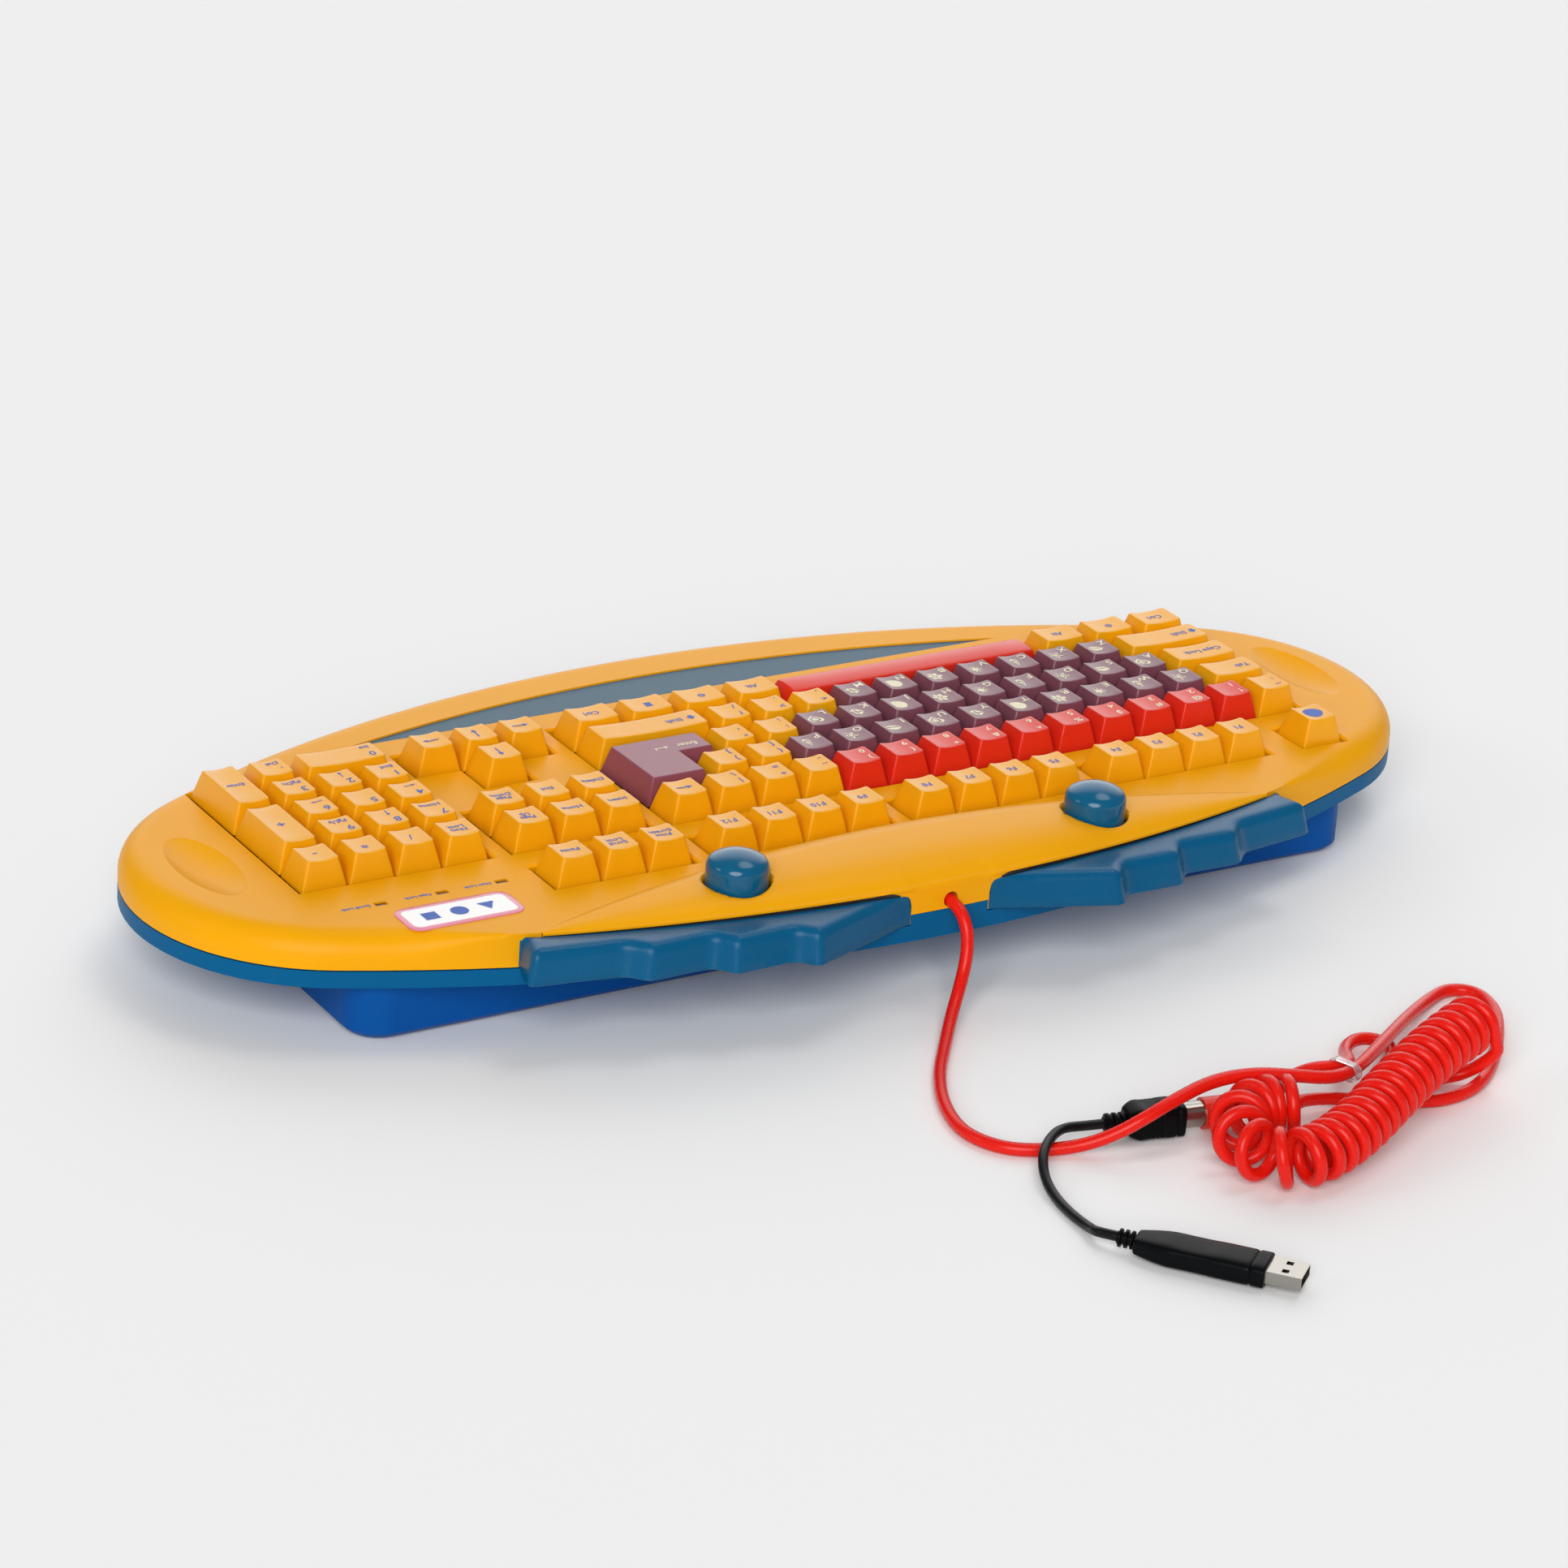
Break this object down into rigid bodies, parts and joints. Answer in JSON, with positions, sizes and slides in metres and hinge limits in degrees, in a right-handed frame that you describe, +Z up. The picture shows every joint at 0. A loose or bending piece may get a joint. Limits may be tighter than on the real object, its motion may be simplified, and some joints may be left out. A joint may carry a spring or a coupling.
{
  "type": "children's computer keyboard",
  "caption": "Oval children's computer keyboard with bright full-size keys, finger-grip rear edge, dome buttons, curly cord and round-plug to USB adapter.",
  "frame": {"origin": "on the table, under the middle of the case without its cord", "axes": "+X to the user's right along the case, +Y away from the user to the cord, +Z up"},
  "size_m": [0.539, 0.4914, 0.0606],
  "materials": {
    "yellow_plastic": "smooth moulded yellow plastic",
    "blue_plastic": "smooth moulded blue plastic",
    "teal_plastic": "smooth moulded teal-blue plastic",
    "grey_blue_plastic": "fine textured grey-blue plastic",
    "purple_plastic": "smooth dusky purple plastic with printed legends",
    "red_plastic": "smooth red plastic",
    "black_plastic": "satin black plastic",
    "dark_plastic": "dark inner plastic",
    "lamp_plastic": "cloudy clear plastic",
    "dark_rubber": "dark rubber",
    "pale_rubber": "pale silicone rubber",
    "clear_film": "clear film",
    "steel": "bare steel",
    "nickel": "nickel plate",
    "board": "green circuit board",
    "red_cord": "soft red cord sleeve",
    "black_cord": "soft black cord sleeve"
  },
  "bodies": {
    "case": {"top_shell": "yellow_plastic", "bottom_shell": "blue_plastic", "palm_panel": "grey_blue_plastic", "left_hand_grip": "teal_plastic", "right_hand_grip": "teal_plastic", "button_pads": "dark_rubber", "lock_lamps": "lamp_plastic", "key_frame": "dark_plastic", "dome_sheet": "pale_rubber", "membrane": "clear_film", "backing_plate": "steel", "controller_board": "board", "case_screws": "steel", "rubber_feet": "dark_rubber", "cord_clamp": "dark_plastic", "cord_lead": "red_cord", "cord_curl": "red_cord", "cord_tail": "red_cord", "cord_tie": "clear_film", "plug_grip": "red_plastic", "plug_barrel": "nickel", "adapter_socket": "black_plastic", "adapter_lead": "black_cord", "usb_body": "black_plastic", "usb_shell": "nickel"},
    "escape_key": {"escape_key": "yellow_plastic"},
    "function_keys_1_to_4": {"function_keys_1_to_4": "yellow_plastic"},
    "function_keys_5_to_8": {"function_keys_5_to_8": "yellow_plastic"},
    "function_keys_9_to_12": {"function_keys_9_to_12": "yellow_plastic"},
    "system_keys": {"system_keys": "yellow_plastic"},
    "symbol_keys": {"symbol_keys": "yellow_plastic"},
    "digit_keys": {"digit_keys": "red_plastic"},
    "backspace_key": {"backspace_key": "yellow_plastic"},
    "tab_key": {"tab_key": "yellow_plastic"},
    "letter_keys_top": {"letter_keys_top": "purple_plastic"},
    "bracket_keys": {"bracket_keys": "yellow_plastic"},
    "enter_key": {"enter_key": "purple_plastic"},
    "caps_lock_key": {"caps_lock_key": "yellow_plastic"},
    "letter_keys_middle": {"letter_keys_middle": "purple_plastic"},
    "quote_keys": {"quote_keys": "yellow_plastic"},
    "left_shift_key": {"left_shift_key": "yellow_plastic"},
    "letter_keys_bottom": {"letter_keys_bottom": "purple_plastic"},
    "stop_keys": {"stop_keys": "yellow_plastic"},
    "right_shift_key": {"right_shift_key": "yellow_plastic"},
    "left_control_keys": {"left_control_keys": "yellow_plastic"},
    "space_bar": {"space_bar": "red_plastic"},
    "right_control_keys": {"right_control_keys": "yellow_plastic"},
    "insert_keys": {"insert_keys": "yellow_plastic"},
    "delete_keys": {"delete_keys": "yellow_plastic"},
    "arrow_keys": {"arrow_keys": "yellow_plastic"},
    "numpad_lock_keys": {"numpad_lock_keys": "yellow_plastic"},
    "numpad_keys_7_to_9": {"numpad_keys_7_to_9": "yellow_plastic"},
    "numpad_keys_4_to_6": {"numpad_keys_4_to_6": "yellow_plastic"},
    "numpad_keys_1_to_3": {"numpad_keys_1_to_3": "yellow_plastic"},
    "numpad_plus_key": {"numpad_plus_key": "yellow_plastic"},
    "numpad_enter_key": {"numpad_enter_key": "yellow_plastic"},
    "numpad_zero_key": {"numpad_zero_key": "yellow_plastic"},
    "numpad_point_key": {"numpad_point_key": "yellow_plastic"},
    "left_dome_button": {"left_dome_button": "teal_plastic"},
    "right_dome_button": {"right_dome_button": "teal_plastic"}
  },
  "joints": [
    {"name": "escape_key_press", "type": "slide", "parent": "case", "child": "escape_key", "axis": [0, 0, -1], "range_m": [0, 0.0038], "stiffness_N_per_m": 150, "springref_m": -0.003},
    {"name": "function_keys_1_to_4_press", "type": "slide", "parent": "case", "child": "function_keys_1_to_4", "axis": [0, 0, -1], "range_m": [0, 0.0038], "stiffness_N_per_m": 600, "springref_m": -0.003},
    {"name": "function_keys_5_to_8_press", "type": "slide", "parent": "case", "child": "function_keys_5_to_8", "axis": [0, 0, -1], "range_m": [0, 0.0038], "stiffness_N_per_m": 600, "springref_m": -0.003},
    {"name": "function_keys_9_to_12_press", "type": "slide", "parent": "case", "child": "function_keys_9_to_12", "axis": [0, 0, -1], "range_m": [0, 0.0038], "stiffness_N_per_m": 600, "springref_m": -0.003},
    {"name": "system_keys_press", "type": "slide", "parent": "case", "child": "system_keys", "axis": [0, 0, -1], "range_m": [0, 0.0038], "stiffness_N_per_m": 450, "springref_m": -0.003},
    {"name": "symbol_keys_press", "type": "slide", "parent": "case", "child": "symbol_keys", "axis": [0, 0, -1], "range_m": [0, 0.0038], "stiffness_N_per_m": 600, "springref_m": -0.003},
    {"name": "digit_keys_press", "type": "slide", "parent": "case", "child": "digit_keys", "axis": [0, 0, -1], "range_m": [0, 0.0038], "stiffness_N_per_m": 1500, "springref_m": -0.003},
    {"name": "backspace_key_press", "type": "slide", "parent": "case", "child": "backspace_key", "axis": [0, 0, -1], "range_m": [0, 0.0038], "stiffness_N_per_m": 150, "springref_m": -0.003},
    {"name": "tab_key_press", "type": "slide", "parent": "case", "child": "tab_key", "axis": [0, 0, -1], "range_m": [0, 0.0038], "stiffness_N_per_m": 150, "springref_m": -0.003},
    {"name": "letter_keys_top_press", "type": "slide", "parent": "case", "child": "letter_keys_top", "axis": [0, 0, -1], "range_m": [0, 0.0038], "stiffness_N_per_m": 1500, "springref_m": -0.003},
    {"name": "bracket_keys_press", "type": "slide", "parent": "case", "child": "bracket_keys", "axis": [0, 0, -1], "range_m": [0, 0.0038], "stiffness_N_per_m": 300, "springref_m": -0.003},
    {"name": "enter_key_press", "type": "slide", "parent": "case", "child": "enter_key", "axis": [0, 0, -1], "range_m": [0, 0.0038], "stiffness_N_per_m": 150, "springref_m": -0.003},
    {"name": "caps_lock_key_press", "type": "slide", "parent": "case", "child": "caps_lock_key", "axis": [0, 0, -1], "range_m": [0, 0.0038], "stiffness_N_per_m": 150, "springref_m": -0.003},
    {"name": "letter_keys_middle_press", "type": "slide", "parent": "case", "child": "letter_keys_middle", "axis": [0, 0, -1], "range_m": [0, 0.0038], "stiffness_N_per_m": 1350, "springref_m": -0.003},
    {"name": "quote_keys_press", "type": "slide", "parent": "case", "child": "quote_keys", "axis": [0, 0, -1], "range_m": [0, 0.0038], "stiffness_N_per_m": 300, "springref_m": -0.003},
    {"name": "left_shift_key_press", "type": "slide", "parent": "case", "child": "left_shift_key", "axis": [0, 0, -1], "range_m": [0, 0.0038], "stiffness_N_per_m": 150, "springref_m": -0.003},
    {"name": "letter_keys_bottom_press", "type": "slide", "parent": "case", "child": "letter_keys_bottom", "axis": [0, 0, -1], "range_m": [0, 0.0038], "stiffness_N_per_m": 1050, "springref_m": -0.003},
    {"name": "stop_keys_press", "type": "slide", "parent": "case", "child": "stop_keys", "axis": [0, 0, -1], "range_m": [0, 0.0038], "stiffness_N_per_m": 450, "springref_m": -0.003},
    {"name": "right_shift_key_press", "type": "slide", "parent": "case", "child": "right_shift_key", "axis": [0, 0, -1], "range_m": [0, 0.0038], "stiffness_N_per_m": 150, "springref_m": -0.003},
    {"name": "left_control_keys_press", "type": "slide", "parent": "case", "child": "left_control_keys", "axis": [0, 0, -1], "range_m": [0, 0.0038], "stiffness_N_per_m": 450, "springref_m": -0.003},
    {"name": "space_bar_press", "type": "slide", "parent": "case", "child": "space_bar", "axis": [0, 0, -1], "range_m": [0, 0.0038], "stiffness_N_per_m": 150, "springref_m": -0.003},
    {"name": "right_control_keys_press", "type": "slide", "parent": "case", "child": "right_control_keys", "axis": [0, 0, -1], "range_m": [0, 0.0038], "stiffness_N_per_m": 600, "springref_m": -0.003},
    {"name": "insert_keys_press", "type": "slide", "parent": "case", "child": "insert_keys", "axis": [0, 0, -1], "range_m": [0, 0.0038], "stiffness_N_per_m": 450, "springref_m": -0.003},
    {"name": "delete_keys_press", "type": "slide", "parent": "case", "child": "delete_keys", "axis": [0, 0, -1], "range_m": [0, 0.0038], "stiffness_N_per_m": 450, "springref_m": -0.003},
    {"name": "arrow_keys_press", "type": "slide", "parent": "case", "child": "arrow_keys", "axis": [0, 0, -1], "range_m": [0, 0.0038], "stiffness_N_per_m": 600, "springref_m": -0.003},
    {"name": "numpad_lock_keys_press", "type": "slide", "parent": "case", "child": "numpad_lock_keys", "axis": [0, 0, -1], "range_m": [0, 0.0038], "stiffness_N_per_m": 600, "springref_m": -0.003},
    {"name": "numpad_keys_7_to_9_press", "type": "slide", "parent": "case", "child": "numpad_keys_7_to_9", "axis": [0, 0, -1], "range_m": [0, 0.0038], "stiffness_N_per_m": 450, "springref_m": -0.003},
    {"name": "numpad_keys_4_to_6_press", "type": "slide", "parent": "case", "child": "numpad_keys_4_to_6", "axis": [0, 0, -1], "range_m": [0, 0.0038], "stiffness_N_per_m": 450, "springref_m": -0.003},
    {"name": "numpad_keys_1_to_3_press", "type": "slide", "parent": "case", "child": "numpad_keys_1_to_3", "axis": [0, 0, -1], "range_m": [0, 0.0038], "stiffness_N_per_m": 450, "springref_m": -0.003},
    {"name": "numpad_plus_key_press", "type": "slide", "parent": "case", "child": "numpad_plus_key", "axis": [0, 0, -1], "range_m": [0, 0.0038], "stiffness_N_per_m": 150, "springref_m": -0.003},
    {"name": "numpad_enter_key_press", "type": "slide", "parent": "case", "child": "numpad_enter_key", "axis": [0, 0, -1], "range_m": [0, 0.0038], "stiffness_N_per_m": 150, "springref_m": -0.003},
    {"name": "numpad_zero_key_press", "type": "slide", "parent": "case", "child": "numpad_zero_key", "axis": [0, 0, -1], "range_m": [0, 0.0038], "stiffness_N_per_m": 150, "springref_m": -0.003},
    {"name": "numpad_point_key_press", "type": "slide", "parent": "case", "child": "numpad_point_key", "axis": [0, 0, -1], "range_m": [0, 0.0038], "stiffness_N_per_m": 150, "springref_m": -0.003},
    {"name": "left_dome_button_press", "type": "slide", "parent": "case", "child": "left_dome_button", "axis": [0, 0, -1], "range_m": [0, 0.003], "stiffness_N_per_m": 300, "springref_m": -0.003},
    {"name": "right_dome_button_press", "type": "slide", "parent": "case", "child": "right_dome_button", "axis": [0, 0, -1], "range_m": [0, 0.003], "stiffness_N_per_m": 300, "springref_m": -0.003}
  ]
}
